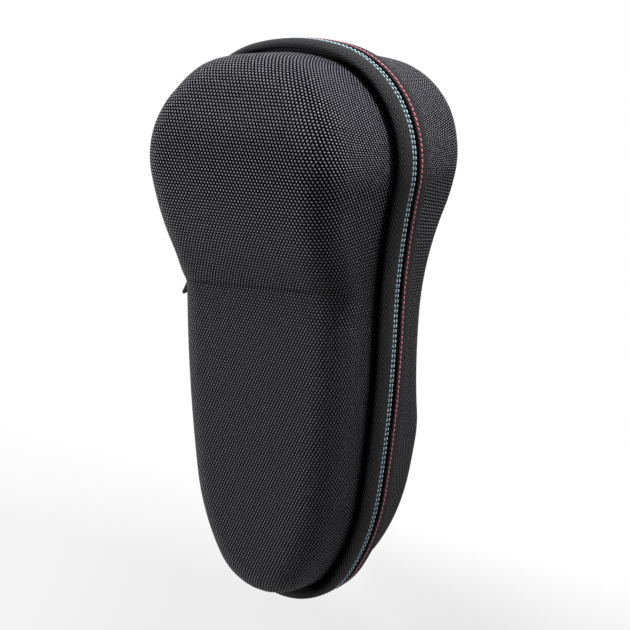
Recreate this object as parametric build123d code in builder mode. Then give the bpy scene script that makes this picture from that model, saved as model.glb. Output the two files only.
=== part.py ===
"""Hard clamshell case for an electric shaver, lying on the flat patches of its back shell.

The two moulded halves meet at a flat seam. Every ring and shell is drawn on that seam plane:
a height above it belongs to the lid, a height below it to the base. The case rests on its
base, so the seam leans a few degrees, with the wide head end higher than the handle end.
"""
import os
from math import atan, cos, radians, sin, sqrt, tan

from build123d import *

os.makedirs("parts", exist_ok=True)

# --- Outline of the seam, in millimetres from its foot at the handle end ---
case_length = 205.0
head_width = 97.5
head_reach = 41.0
head_side_radius = 40.0
flank_width = 85.6
flank_to_head = 45.0
waist_radius = 260.0
cap_radius = 30.0
cap_sweep = 57.0
toe_radius = 82.0

# --- Depth of the lid above the seam; its head is domed between two slopes that meet at the crest ---
lid_crest_depth = 46.5
lid_end_depth = 33.0
lid_handle_depth = 28.0
crest_to_end = 48.5
fold_to_crest = 37.5
fold_radius = 10.0
crest_radius = 65.0

# --- Depth of the base below the seam; its two rest patches lie in one plane ---
base_head_depth = 45.0
base_head_to_end = 33.0
base_handle_depth = 36.5
base_handle_station = 60.0
base_waist_depth = 30.5
base_waist_low = 66.0
base_waist_to_end = 53.0
base_waist_rounding = 30.0

# --- Moulded walls: cover cloth, foam and lining, glued face to face ---
wall_draft = 5.0
shoulder_radius = 13.0
cover_cloth = 0.8
foam_wall = 3.0
lining_cloth = 0.8
glue_gap = 0.2
shell_edge = 1.9

# --- Rolled rim band, zip and thread ---
band_width = 3.0
band_height = 8.9
band_edge = 1.0
band_lean = 0.9
band_crown = 1.8
band_inner_round = 0.8
band_seam_round = 0.7
tape_thickness = 1.2
tape_height = 5.0
tape_gap = 0.2
coil_width = 1.4
coil_height = 1.0
coil_gap = 0.9
thread_thick = 0.26
thread_wide = 0.5
inner_row = 1.7
outer_row = 3.2
back_row = 2.2
piping_width = 3.6
piping_gap = 0.6
stop_length = 2.0

# --- Cloth hinge on the left side of the head ---
hinge_length = 28.0
hinge_cloth = 0.6
hinge_reach = 6.0
hinge_gap = 0.2

# --- Zip slider and its pull tab ---
slider_to_hinge = 19.0
slider_length = 11.0
slider_clearance = 0.45
slider_plate = 1.15
slider_depth = 4.6
slider_lid_side = 0.3
web_thickness = 0.5
web_length = 8.0
keeper_clearance = 0.3
keeper_thickness = 1.0
keeper_depth = 1.5
stud_radius = 1.0
stud_fit = 0.06
stud_drop = 2.15
stud_head_radius = 2.1
stud_head = 0.6
tab_lift = 0.6
tab_length = 20.0
tab_width = 7.0
tab_thickness = 1.4
tab_corner = 1.0
eyelet_radius = 2.2
eyelet_rim = 0.1
part_gap = 0.05

# --- Elastic strap across the base ---
strap_station = 72.0
strap_width = 25.0
strap_thickness = 1.2
strap_height = 6.0
strap_hem = 20.0
seat_gap = 0.3
patch_margin = 1.5
patch_top = 10.5
patch_cloth = 0.8
tack_thick = 0.3
tack_wide = 0.8
tack_inset = 2.0

# --- Mesh pocket across the handle end of the lid ---
pocket_height = 12.0
pocket_to_fold = 15.0
mesh_cloth = 0.8
hem_width = 7.0
hem_thickness = 1.8
pocket_row_inset = 2.0
pocket_thread = 0.5

# --- Stations: distances along the seam from its foot, for what is placed from the head end ---
head_station = case_length - head_reach
flank_station = head_station - flank_to_head
crest_station = case_length - crest_to_end
fold_station = crest_station - fold_to_crest
pocket_top = fold_station - pocket_to_fold
base_head_station = case_length - base_head_to_end
base_waist_high = case_length - base_waist_to_end
base_waist_station = (base_waist_low + base_waist_high) / 2
hinge_low = head_station - hinge_length / 2
hinge_high = head_station + hinge_length / 2
slider_station = hinge_low - slider_to_hinge

# --- Frame: the rest patches lie in Z = 0, and the origin is on the head's patch ---
rest_tilt = atan((base_head_depth - base_handle_depth) / (base_head_station - base_handle_station))
along = Vector(0, cos(rest_tilt), sin(rest_tilt))
up = Vector(0, -sin(rest_tilt), cos(rest_tilt))
seam_foot = up * base_head_depth - along * base_head_station
seam = Plane(origin=seam_foot, x_dir=(1, 0, 0), z_dir=up)
profile_plane = Plane(origin=seam_foot, x_dir=along, z_dir=(1, 0, 0))
height_axis = Axis(seam_foot, up)
beyond = 2 * case_length
overrun = case_length / 8


def rest_depth(station):
    """Depth of the rest plane below the seam at a station along the case."""
    return base_head_depth + (station - base_head_station) * tan(rest_tilt)


# --- Circles of the outline, each tangent to the next ---
head_half = head_width / 2
cap_center = Vector(0, cap_radius)
cap_normal = Vector(sin(radians(cap_sweep)), -cos(radians(cap_sweep)))
toe_center = cap_center + cap_normal * (cap_radius - toe_radius)
toe_dx = flank_width / 2 - toe_center.X
toe_dy = flank_station - toe_center.Y
flank_radius = (toe_dx**2 + toe_dy**2 - toe_radius**2) / (2 * (toe_dx - toe_radius))
flank_center = Vector(flank_width / 2 - flank_radius, flank_station)
head_center = Vector(head_half - head_side_radius, head_station)
crown_gain = head_center.X**2 + head_reach**2 - head_side_radius**2
crown_radius = crown_gain / (2 * (head_reach - head_side_radius))
crown_center = Vector(0, case_length - crown_radius)

centers_run = head_center - flank_center
run = centers_run.normalized()
to_flank = flank_radius + waist_radius
to_head = head_side_radius + waist_radius
waist_along = (to_flank**2 - to_head**2 + centers_run.length**2) / (2 * centers_run.length)
waist_out = sqrt(to_flank**2 - waist_along**2)
waist_center = flank_center + run * waist_along + Vector(run.Y, -run.X) * waist_out

# Each arc: its centre, its radius, 1 where it bulges or -1 where it is hollow,
# and the outline's outward normal where the arc ends.
outline_arcs = (
    (cap_center, cap_radius, 1, cap_normal),
    (toe_center, toe_radius, 1, (toe_center - flank_center).normalized()),
    (flank_center, flank_radius, 1, (waist_center - flank_center).normalized()),
    (waist_center, waist_radius, -1, (waist_center - head_center).normalized()),
    (head_center, head_side_radius, 1, (head_center - crown_center).normalized()),
    (crown_center, crown_radius, 1, Vector(0, 1)),
)


def outline(inset=0.0):
    """The seam's outline, moved inwards by inset, as a face."""
    with BuildSketch() as shape:
        with BuildLine():
            start_normal = Vector(0, -1)
            for center, radius, bulge, end_normal in outline_arcs:
                reach = (radius - bulge * inset) * bulge
                middle_normal = (start_normal + end_normal).normalized()
                ThreePointArc(
                    center + start_normal * reach,
                    center + middle_normal * reach,
                    center + end_normal * reach,
                )
                start_normal = end_normal
            mirror(about=Plane.YZ)
        make_face()
    return shape.sketch


def ring(outer_inset, inner_inset, low, high):
    """A ring that follows the outline between two insets and two heights over the seam."""
    with BuildPart() as band:
        with BuildSketch(seam.offset(low)):
            add(outline(outer_inset))
            add(outline(inner_inset), mode=Mode.SUBTRACT)
        extrude(amount=high - low)
    return band.part


def block(low_station, high_station, low, high, left=-beyond, right=beyond):
    """A block in the seam's own directions, used to trim other pieces."""
    with BuildPart() as trim:
        with BuildSketch(seam.offset(low)):
            with Locations(((left + right) / 2, (low_station + high_station) / 2)):
                Rectangle(right - left, high_station - low_station)
        extrude(amount=high - low)
    return trim.part


def lid_profile(sink):
    """Side view of the lid, lowered by sink from its outer face."""
    crest = lid_crest_depth - sink
    handle = lid_handle_depth - sink
    end_slope = (lid_crest_depth - lid_end_depth) / crest_to_end
    beyond_end = lid_end_depth - sink - overrun * end_slope
    with BuildSketch() as shape:
        with BuildLine():
            Polyline(
                (-overrun, 0),
                (case_length + overrun, 0),
                (case_length + overrun, beyond_end),
                (crest_station, crest),
                (fold_station, handle),
                (-overrun, handle),
                close=True,
            )
        make_face()
        fillet(shape.vertices().sort_by_distance((fold_station, handle))[0], fold_radius)
        fillet(shape.vertices().sort_by_distance((crest_station, crest))[0], crest_radius)
    return shape.sketch


def base_profile(sink):
    """Side view of the base, raised by sink from its outer face."""
    low = (base_waist_low, sink - rest_depth(base_waist_low))
    middle = (base_waist_station, sink - base_waist_depth)
    high = (base_waist_high, sink - rest_depth(base_waist_high))
    with BuildSketch() as shape:
        with BuildLine():
            ThreePointArc(low, middle, high)
            Polyline(
                high,
                (case_length + overrun, sink - rest_depth(case_length + overrun)),
                (case_length + overrun, 0),
                (-overrun, 0),
                (-overrun, sink - rest_depth(-overrun)),
                low,
            )
        make_face()
        fillet(shape.vertices().sort_by_distance(low)[0], base_waist_rounding)
        fillet(shape.vertices().sort_by_distance(high)[0], base_waist_rounding)
    return shape.sketch


def dome(side, sink):
    """Solid filling of one half, sink below its outer face: side is 1 for the lid, -1 for the base."""
    wall_inset = shell_inset + sink / cos(radians(wall_draft))
    wall_height = lid_crest_depth + base_head_depth
    wall_lean = (wall_height - shell_edge) * tan(radians(wall_draft))
    profile = lid_profile(sink) if side > 0 else base_profile(sink)
    with BuildPart() as filling:
        with BuildSketch(seam.offset(side * shell_edge)):
            add(outline(wall_inset))
        with BuildSketch(seam.offset(side * wall_height)):
            add(outline(wall_inset + wall_lean))
        loft(ruled=True)
        with BuildSketch(profile_plane):
            add(profile)
        extrude(amount=head_width, both=True, mode=Mode.INTERSECT)
        fronts = filling.faces().filter_by(lambda face: side * face.normal_at().dot(up) > 0.8)
        walls = filling.faces().filter_by(lambda face: abs(face.normal_at().dot(up)) < 0.8)
        wall_edges = walls.edges()
        shoulder = [edge for edge in fronts.edges() if any(edge.is_same(other) for other in wall_edges)]
        fillet(shoulder, shoulder_radius - sink)
    return filling.part


def layer(side, outer_sink, inner_sink):
    """The wall of one half between two depths below its outer face."""
    with BuildPart() as wall:
        add(dome(side, outer_sink))
        add(dome(side, inner_sink), mode=Mode.SUBTRACT)
    return wall.part


def across_seam(piece):
    """The same piece on the base's side of the seam."""
    with BuildPart() as copy:
        mirror(piece, about=seam, mode=Mode.ADD)
    return copy.part


def save(piece, name):
    """Label a finished piece and write its STEP file."""
    piece.label = name
    export_step(piece, f"parts/{name}.step")


# --- Places worked out from the sizes above ---
tape_inset = band_width + tape_gap
shell_inset = tape_inset + coil_width
foam_sink = cover_cloth + glue_gap
lining_sink = foam_sink + foam_wall + glue_gap
inside_sink = lining_sink + lining_cloth
coil_low = coil_gap / 2
coil_high = coil_low + coil_height
piping_inset = shell_inset + inside_sink / cos(radians(wall_draft)) + seat_gap - piping_width
zip_closed_end = slider_station + slider_length / 2 + 2 * slider_clearance
zip_open_end = hinge_high + stop_length


# --- Moulded shells ---
with BuildPart() as lid_cover:
    add(layer(1, 0, cover_cloth))
save(lid_cover.part, "lid_cover")

with BuildPart() as lid_foam:
    add(layer(1, foam_sink, foam_sink + foam_wall))
save(lid_foam.part, "lid_foam")

with BuildPart() as lid_lining:
    add(layer(1, lining_sink, inside_sink))
save(lid_lining.part, "lid_lining")

with BuildPart() as base_cover:
    add(layer(-1, 0, cover_cloth))
save(base_cover.part, "base_cover")

with BuildPart() as base_foam:
    add(layer(-1, foam_sink, foam_sink + foam_wall))
save(base_foam.part, "base_foam")

with BuildPart() as base_lining:
    add(layer(-1, lining_sink, inside_sink))
save(base_lining.part, "base_lining")


# --- Rolled rim bands: a bulging bead around each shell's edge ---
with BuildPart() as lid_band:
    with BuildSketch(seam.offset(band_edge)):
        add(outline())
    with BuildSketch(seam.offset(band_height)):
        add(outline(band_lean))
    loft(ruled=True)
    with BuildSketch(seam.offset(band_edge)):
        add(outline(band_width))
    extrude(amount=band_height - band_edge, mode=Mode.SUBTRACT)
    crown = lid_band.faces().sort_by(height_axis)[-1]
    fillet(crown.outer_wire().edges(), band_crown)
    crown = lid_band.faces().sort_by(height_axis)[-1]
    fillet(crown.inner_wires()[0].edges(), band_inner_round)
    underside = lid_band.faces().sort_by(height_axis)[0]
    fillet(underside.outer_wire().edges(), band_seam_round)
save(lid_band.part, "lid_band")

with BuildPart() as base_band:
    add(across_seam(lid_band.part))
save(base_band.part, "base_band")


# --- Zip: tapes, coils and end stops; the hinge side has no teeth ---
toothless = block(zip_closed_end, zip_open_end, -beyond, beyond, right=0)

with BuildPart() as lid_tape:
    add(ring(tape_inset, tape_inset + tape_thickness, coil_high, tape_height))
save(lid_tape.part, "lid_tape")

with BuildPart() as base_tape:
    add(across_seam(lid_tape.part))
save(base_tape.part, "base_tape")

with BuildPart() as lid_coil:
    add(ring(tape_inset, tape_inset + coil_width, coil_low, coil_high))
    add(toothless, mode=Mode.SUBTRACT)
save(lid_coil.part, "lid_coil")

with BuildPart() as base_coil:
    add(across_seam(lid_coil.part))
save(base_coil.part, "base_coil")

with BuildPart() as lid_stops:
    add(ring(tape_inset, tape_inset + coil_width, coil_low, coil_high))
    add(toothless, mode=Mode.INTERSECT)
    add(block(zip_closed_end + stop_length, zip_open_end - stop_length, 0, beyond), mode=Mode.SUBTRACT)
save(lid_stops.part, "lid_stops")

with BuildPart() as base_stops:
    add(across_seam(lid_stops.part))
save(base_stops.part, "base_stops")


# --- Rows of thread on the bands; the cloth hinge covers them on its side ---
hinge_zone = block(hinge_low - part_gap, hinge_high + part_gap, -beyond, beyond, right=0)


def thread_row(height):
    """One row of thread round the rim, as a low bead on the band's outer face."""
    with BuildPart() as row:
        add(ring(-thread_thick - part_gap, -part_gap, height - thread_wide / 2, height + thread_wide / 2))
        add(hinge_zone, mode=Mode.SUBTRACT)
    return row.part


with BuildPart() as lid_inner_thread:
    add(thread_row(inner_row))
save(lid_inner_thread.part, "lid_inner_thread")

with BuildPart() as lid_outer_thread:
    add(thread_row(outer_row))
save(lid_outer_thread.part, "lid_outer_thread")

with BuildPart() as base_thread:
    add(thread_row(-back_row))
save(base_thread.part, "base_thread")


# --- Piping that closes the seam from the inside ---
with BuildPart() as lid_piping:
    add(ring(piping_inset, piping_inset + piping_width, piping_gap / 2, shell_edge - glue_gap))
save(lid_piping.part, "lid_piping")

with BuildPart() as base_piping:
    add(across_seam(lid_piping.part))
save(base_piping.part, "base_piping")


# --- Cloth hinge: a leaf on each half, which fold about their outer edge ---
with BuildPart() as lid_hinge:
    add(ring(-part_gap - hinge_cloth, -part_gap, hinge_gap / 2, hinge_reach))
    add(block(hinge_low, hinge_high, 0, beyond, right=0), mode=Mode.INTERSECT)
save(lid_hinge.part, "lid_hinge")

with BuildPart() as base_hinge:
    add(across_seam(lid_hinge.part))
save(base_hinge.part, "base_hinge")


# --- Zip slider: outer plate, web through the seam, and keeper behind the coil ---
def waist_half_width(station):
    """Half-width of the outline on its hollow arc."""
    return waist_center.X - sqrt(waist_radius**2 - (station - waist_center.Y) ** 2)


plate_outer = slider_clearance + thread_thick + slider_plate
plate_inner = slider_clearance + thread_thick
keeper_inset = shell_inset + keeper_clearance
stud_foot = -waist_half_width(slider_station) - plate_outer
tab_inner = stud_foot - tab_lift
tab_outer = tab_inner - tab_thickness
stud_head_foot = tab_outer - eyelet_rim - part_gap
stud_point = seam_foot + along * slider_station - up * stud_drop


def zip_segment(outer_inset, inner_inset, low, high, length):
    """A piece of ring that follows the zip on the left, centred on the slider."""
    with BuildPart() as segment:
        add(ring(outer_inset, inner_inset, low, high))
        half = length / 2
        trim = block(slider_station - half, slider_station + half, -beyond, beyond, right=0)
        add(trim, mode=Mode.INTERSECT)
    return segment.part


def stud_plane(x):
    """Plane across the stud at x, facing out of the case's left side, its y towards the base."""
    return Plane(origin=(x, stud_point.Y, stud_point.Z), x_dir=along, z_dir=(-1, 0, 0))


with BuildPart() as zip_slider:
    add(zip_segment(-plate_outer, -plate_inner, -slider_depth, slider_lid_side, slider_length))
    add(zip_segment(-plate_inner, keeper_inset, -web_thickness / 2, web_thickness / 2, web_length))
    add(
        zip_segment(
            keeper_inset,
            keeper_inset + keeper_thickness,
            -keeper_depth,
            web_thickness / 2,
            slider_length - keeper_thickness,
        )
    )
    with BuildSketch(stud_plane(stud_foot + slider_plate / 2)):
        Circle(stud_radius)
    extrude(amount=stud_foot + slider_plate / 2 - stud_head_foot)
    with BuildSketch(stud_plane(stud_head_foot)):
        Circle(stud_head_radius)
    extrude(amount=stud_head)
save(zip_slider.part, "zip_slider")

with BuildPart() as pull_eyelet:
    with BuildSketch(stud_plane(tab_inner + eyelet_rim)):
        Circle(eyelet_radius)
        Circle(stud_radius + stud_fit, mode=Mode.SUBTRACT)
    extrude(amount=tab_thickness + 2 * eyelet_rim)
save(pull_eyelet.part, "pull_eyelet")

with BuildPart() as pull_tab:
    with BuildSketch(stud_plane(tab_inner)):
        with Locations(((tab_width - tab_length) / 2, 0)):
            Rectangle(tab_length, tab_width)
        Circle(eyelet_radius + part_gap, mode=Mode.SUBTRACT)
    extrude(amount=tab_thickness)
    uprights = pull_tab.edges().filter_by(Axis.X).sort_by(Axis(seam_foot, along))
    fillet(uprights[:2], tab_corner)
save(pull_tab.part, "pull_tab")


# --- Elastic strap over the base, sewn to the lining under a patch at each end ---
strap_sink = inside_sink + seat_gap
strap_low = strap_station - strap_width / 2
strap_high = strap_station + strap_width / 2

with BuildPart() as strap_crossing:
    add(dome(-1, strap_sink))
    crossing_zone = block(strap_low, strap_high, -strap_height - strap_thickness, -strap_height)
    add(crossing_zone, mode=Mode.INTERSECT)

with BuildPart() as shaver_strap:
    add(dome(-1, strap_sink))
    add(dome(-1, strap_sink + strap_thickness), mode=Mode.SUBTRACT)
    add(block(strap_low, strap_high, -strap_hem, -strap_height), mode=Mode.INTERSECT)
    add(strap_crossing.part)
save(shaver_strap.part, "shaver_strap")

patch_sink = strap_sink + strap_thickness + part_gap
with BuildPart() as strap_patches:
    add(dome(-1, patch_sink))
    add(dome(-1, patch_sink + patch_cloth), mode=Mode.SUBTRACT)
    patch_zone = block(
        strap_low - patch_margin,
        strap_high + patch_margin,
        -strap_hem - patch_margin,
        -patch_top,
    )
    add(patch_zone, mode=Mode.INTERSECT)
save(strap_patches.part, "strap_patches")

tack_sink = patch_sink + patch_cloth + part_gap
with BuildPart() as tack_rows:
    for row_foot in (-strap_hem, -patch_top - tack_inset):
        add(block(strap_low + tack_inset, strap_high - tack_inset, row_foot, row_foot + tack_wide))

with BuildPart() as strap_tacks:
    add(dome(-1, tack_sink))
    add(dome(-1, tack_sink + tack_thick), mode=Mode.SUBTRACT)
    add(tack_rows.part, mode=Mode.INTERSECT)
save(strap_tacks.part, "strap_tacks")


# --- Mesh pocket in the handle end of the lid ---
pocket_sink = inside_sink + seat_gap
with BuildPart() as mesh_pocket:
    add(dome(1, pocket_sink))
    mesh_zone = block(-beyond, pocket_top, pocket_height, pocket_height + mesh_cloth)
    add(mesh_zone, mode=Mode.INTERSECT)
save(mesh_pocket.part, "mesh_pocket")

hem_middle = pocket_height + mesh_cloth / 2
with BuildPart() as pocket_hem:
    add(dome(1, pocket_sink))
    hem_zone = block(
        pocket_top,
        pocket_top + hem_width,
        hem_middle - hem_thickness / 2,
        hem_middle + hem_thickness / 2,
    )
    add(hem_zone, mode=Mode.INTERSECT)
save(pocket_hem.part, "pocket_hem")

with BuildPart() as pocket_thread_row:
    add(dome(1, pocket_sink + pocket_row_inset))
    add(dome(1, pocket_sink + pocket_row_inset + pocket_thread), mode=Mode.SUBTRACT)
    row_zone = block(
        -beyond,
        pocket_top - pocket_row_inset,
        pocket_height - part_gap - pocket_thread,
        pocket_height - part_gap,
    )
    add(row_zone, mode=Mode.INTERSECT)
save(pocket_thread_row.part, "pocket_thread_row")
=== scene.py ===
# %% [markdown]
# # A zipped hard case for an electric shaver
#
# The case is two moulded shells of cloth over foam, joined by a zip. Each shell has a rolled
# band of twill around its edge, and rows of coloured thread run round both bands. The packed
# model gives every solid its place. This lesson gives the solids their looks: it models the
# cloth skins, bands, stitches, zip, strap and mesh again with finer shapes, and it makes a
# procedural finish for each.

from bisect import bisect_right
from math import atan, ceil, cos, floor, hypot, pi, radians, sin, sqrt, tan

import bmesh
import bpy
from mathutils import Matrix, Vector


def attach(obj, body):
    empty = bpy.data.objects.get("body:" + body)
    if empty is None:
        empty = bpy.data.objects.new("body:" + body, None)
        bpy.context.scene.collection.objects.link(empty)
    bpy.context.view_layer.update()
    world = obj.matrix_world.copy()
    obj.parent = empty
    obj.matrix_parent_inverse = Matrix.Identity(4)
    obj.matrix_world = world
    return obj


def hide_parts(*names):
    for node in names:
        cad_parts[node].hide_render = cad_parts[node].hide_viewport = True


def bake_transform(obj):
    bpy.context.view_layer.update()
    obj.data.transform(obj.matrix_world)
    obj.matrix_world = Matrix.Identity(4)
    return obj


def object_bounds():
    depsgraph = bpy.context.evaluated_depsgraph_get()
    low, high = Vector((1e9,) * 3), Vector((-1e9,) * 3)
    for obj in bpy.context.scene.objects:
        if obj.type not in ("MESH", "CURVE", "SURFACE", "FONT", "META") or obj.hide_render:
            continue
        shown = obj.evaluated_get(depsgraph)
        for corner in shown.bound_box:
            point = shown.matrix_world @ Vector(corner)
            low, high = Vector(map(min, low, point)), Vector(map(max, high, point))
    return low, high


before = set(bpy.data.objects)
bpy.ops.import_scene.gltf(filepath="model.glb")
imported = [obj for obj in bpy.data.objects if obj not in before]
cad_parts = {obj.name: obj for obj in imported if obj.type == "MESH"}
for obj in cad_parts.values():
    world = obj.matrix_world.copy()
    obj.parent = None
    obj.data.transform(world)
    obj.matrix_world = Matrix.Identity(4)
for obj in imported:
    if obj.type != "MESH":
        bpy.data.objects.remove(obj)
cad_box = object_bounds()
mm = 0.001
halves = (("lid", 1), ("base", -1))

# %% [markdown]
# ## The seam's own frame
#
# Everything on the case is laid out from the flat seam between its halves: x across it,
# a station along it from the handle end, and a height over it, which is below zero on the
# base. The case lies on its base, so the seam leans a little. Each piece is modelled flat in
# this frame, and `settle` turns it into place at the end and applies the turn, so that every
# finished object sits at the origin, unturned.

# %% Seam frame
case_length = 205 * mm
head_station = 164 * mm
base_head_depth = 45 * mm
base_head_station = 172 * mm
base_handle_depth = 36.5 * mm
base_handle_station = 60 * mm
rest_slope = (base_head_depth - base_handle_depth) / (base_head_station - base_handle_station)


def frame_of(x_axis, y_axis, z_axis, origin):
    """The matrix of a frame with these axes and this origin."""
    turn = Matrix((x_axis, y_axis, z_axis)).transposed().to_4x4()
    return Matrix.Translation(origin) @ turn


across_case = Vector((1, 0, 0))
along = Vector((0, 1, rest_slope)).normalized()
up = across_case.cross(along)
seam_foot = up * base_head_depth - along * base_head_station
seam_frame = frame_of(across_case, along, up, seam_foot)


def only(*objects):
    """Leave just these objects selected, the first one active."""
    bpy.ops.object.select_all(action="DESELECT")
    for item in objects:
        item.select_set(True)
    bpy.context.view_layer.objects.active = objects[0]


def named(name):
    """Name the object that was just made, and its mesh."""
    made = bpy.context.object
    made.name = made.data.name = name
    return made


def settle(piece):
    """Turn a piece from the seam's frame into place and apply the turn."""
    only(piece)
    piece.matrix_world = seam_frame @ piece.matrix_world
    bpy.ops.object.transform_apply(location=True, rotation=True, scale=True)
    return piece


print("seam leans by", round(rest_slope, 4), "foot at", [round(c, 4) for c in seam_foot])

# %% [markdown]
# ## The outline
#
# The seam's outline is a chain of arcs, each tangent to the next: the handle's cap, its toe,
# its flank, the hollow waist, the head's side and the head's crown. Arcs have the useful
# property that a parallel line at any inset is made of the same arcs. So one table of points
# with their outward normals, spaced evenly round the rim, serves every piece: a point moved
# inwards along its normal is the same place on a parallel outline.

# %% Outline of the rim
head_half = 48.75 * mm
head_side_radius = 40 * mm
flank_half = 42.8 * mm
flank_station = 119 * mm
waist_radius = 260 * mm
cap_radius = 30 * mm
toe_radius = 82 * mm
cap_sweep = radians(57)
fine_step = 0.1 * mm
merge_within = 0.004 * mm

cap_center = Vector((0, cap_radius))
cap_normal = Vector((sin(cap_sweep), -cos(cap_sweep)))
toe_center = cap_center + cap_normal * (cap_radius - toe_radius)
toe_gap = Vector((flank_half, flank_station)) - toe_center
flank_radius = (toe_gap.length_squared - toe_radius**2) / (2 * (toe_gap.x - toe_radius))
flank_center = Vector((flank_half - flank_radius, flank_station))
head_center = Vector((head_half - head_side_radius, head_station))
head_reach = case_length - head_station
crown_gain = head_center.x**2 + head_reach**2 - head_side_radius**2
crown_radius = crown_gain / (2 * (head_reach - head_side_radius))
crown_center = Vector((0, case_length - crown_radius))
run = head_center - flank_center
to_flank = flank_radius + waist_radius
to_head = head_side_radius + waist_radius
waist_along = (to_flank**2 - to_head**2 + run.length_squared) / (2 * run.length)
waist_out = sqrt(to_flank**2 - waist_along**2)
waist_center = flank_center + run.normalized() * waist_along
waist_center += Vector((run.y, -run.x)).normalized() * waist_out

outline_arcs = (
    (cap_center, cap_radius, 1, cap_normal),
    (toe_center, toe_radius, 1, (toe_center - flank_center).normalized()),
    (flank_center, flank_radius, 1, (waist_center - flank_center).normalized()),
    (waist_center, waist_radius, -1, (waist_center - head_center).normalized()),
    (head_center, head_side_radius, 1, (head_center - crown_center).normalized()),
    (crown_center, crown_radius, 1, Vector((0, 1))),
)


def half_rim():
    """Closely spaced (point, outward normal) pairs up the right side of the rim."""
    table = []
    normal = Vector((0, -1))
    for center, radius, bulge, last in outline_arcs:
        steps = ceil(radius * normal.angle(last) / fine_step)
        for step in range(steps):
            turned = normal.slerp(last, step / steps)
            table.append((center + turned * radius * bulge, turned))
        normal = last
    table.append((Vector((0, case_length)), normal))
    return table


right_side = half_rim()
left_side = [(Vector((-p.x, p.y)), Vector((-n.x, n.y))) for p, n in reversed(right_side[1:-1])]
fine_rim = right_side + left_side
fine_runs = [0.0]
for (here, _), (there, _) in zip(fine_rim, fine_rim[1:] + fine_rim[:1]):
    fine_runs.append(fine_runs[-1] + (there - here).length)
rim_length = fine_runs[-1]


def rim_point(run):
    """(point, normal) at a distance round the rim from the handle end, up the right side."""
    run %= rim_length
    index = min(bisect_right(fine_runs, run), len(fine_rim)) - 1
    share = (run - fine_runs[index]) / (fine_runs[index + 1] - fine_runs[index])
    (here, turn), (there, next_turn) = fine_rim[index], fine_rim[(index + 1) % len(fine_rim)]
    return here.lerp(there, share), turn.lerp(next_turn, share).normalized()


def even_rim(count):
    """(point, normal) pairs spaced evenly all round the rim."""
    return [rim_point(rim_length * step / count) for step in range(count)]


print("rim length:", round(rim_length / mm, 1), "mm")

# %% [markdown]
# ## Modelling by extruding a loop
#
# A moulded shell or a rolled band is a loop of edges that travels: up the wall, round the
# shoulder, across the face. In edit mode that is a circle, extruded again and again, with
# each new loop moved to its place. `extrude_loops` does this and writes each corner's cloth
# coordinates to a UV map, so that a weave can follow the cloth over every bend.

# %% Loop helper
def extrude_loops(name, loops, cloth):
    """A mesh that runs through loops of points; cloth gives each point's place on the cloth."""
    count = len(loops[0])
    bpy.ops.object.select_all(action="DESELECT")
    bpy.ops.mesh.primitive_circle_add(vertices=count, radius=head_half)
    shape = named(name)
    bpy.ops.object.mode_set(mode="EDIT")
    mesh = bmesh.from_edit_mesh(shape.data)
    place = {}
    for index, vert in enumerate(mesh.verts):
        vert.co = loops[0][index]
        place[index] = (0, index)
    for row, loop in enumerate(loops[1:], start=1):
        bpy.ops.mesh.extrude_edges_move()
        mesh = bmesh.from_edit_mesh(shape.data)
        mesh.verts.index_update()
        for vert in [v for v in mesh.verts if v.select]:
            source = next(e.other_vert(vert) for e in vert.link_edges if not e.select)
            column = place[source.index][1]
            place[vert.index] = (row, column)
            vert.co = loop[column]
    mesh.verts.index_update()
    layer = mesh.loops.layers.uv.new("cloth")
    for face in mesh.faces:
        columns = [place[v.index][1] for v in face.verts]
        wraps = max(columns) - min(columns) > 1
        for corner in face.loops:
            row, column = place[corner.vert.index]
            last = wraps and column == 0
            corner[layer].uv = cloth(row, count if last else column)
    bmesh.update_edit_mesh(shape.data)
    bpy.ops.mesh.select_all(action="SELECT")
    bpy.ops.mesh.remove_doubles(threshold=merge_within)
    bpy.ops.mesh.normals_make_consistent(inside=False)
    bpy.ops.object.mode_set(mode="OBJECT")
    bpy.ops.object.shade_smooth()
    return shape


def apply_modifiers(piece):
    """Apply the piece's modifiers in order."""
    only(piece)
    for modifier in list(piece.modifiers):
        bpy.ops.object.modifier_apply(modifier=modifier.name)


def mark(piece, name, number_at):
    """Give each point of a piece a number that its finish can read."""
    marks = piece.data.attributes.new(name, "FLOAT", "POINT")
    for vert in piece.data.vertices:
        marks.data[vert.index].value = number_at(vert.co)


# %% [markdown]
# ## Finishes
#
# Every finish is a node tree on a Principled shader. `Finish` keeps the trees short to write:
# each method adds one node or two and returns the output. The patterns read the cloth
# coordinates, which count yarns, so one weave serves at any stretch.

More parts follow.
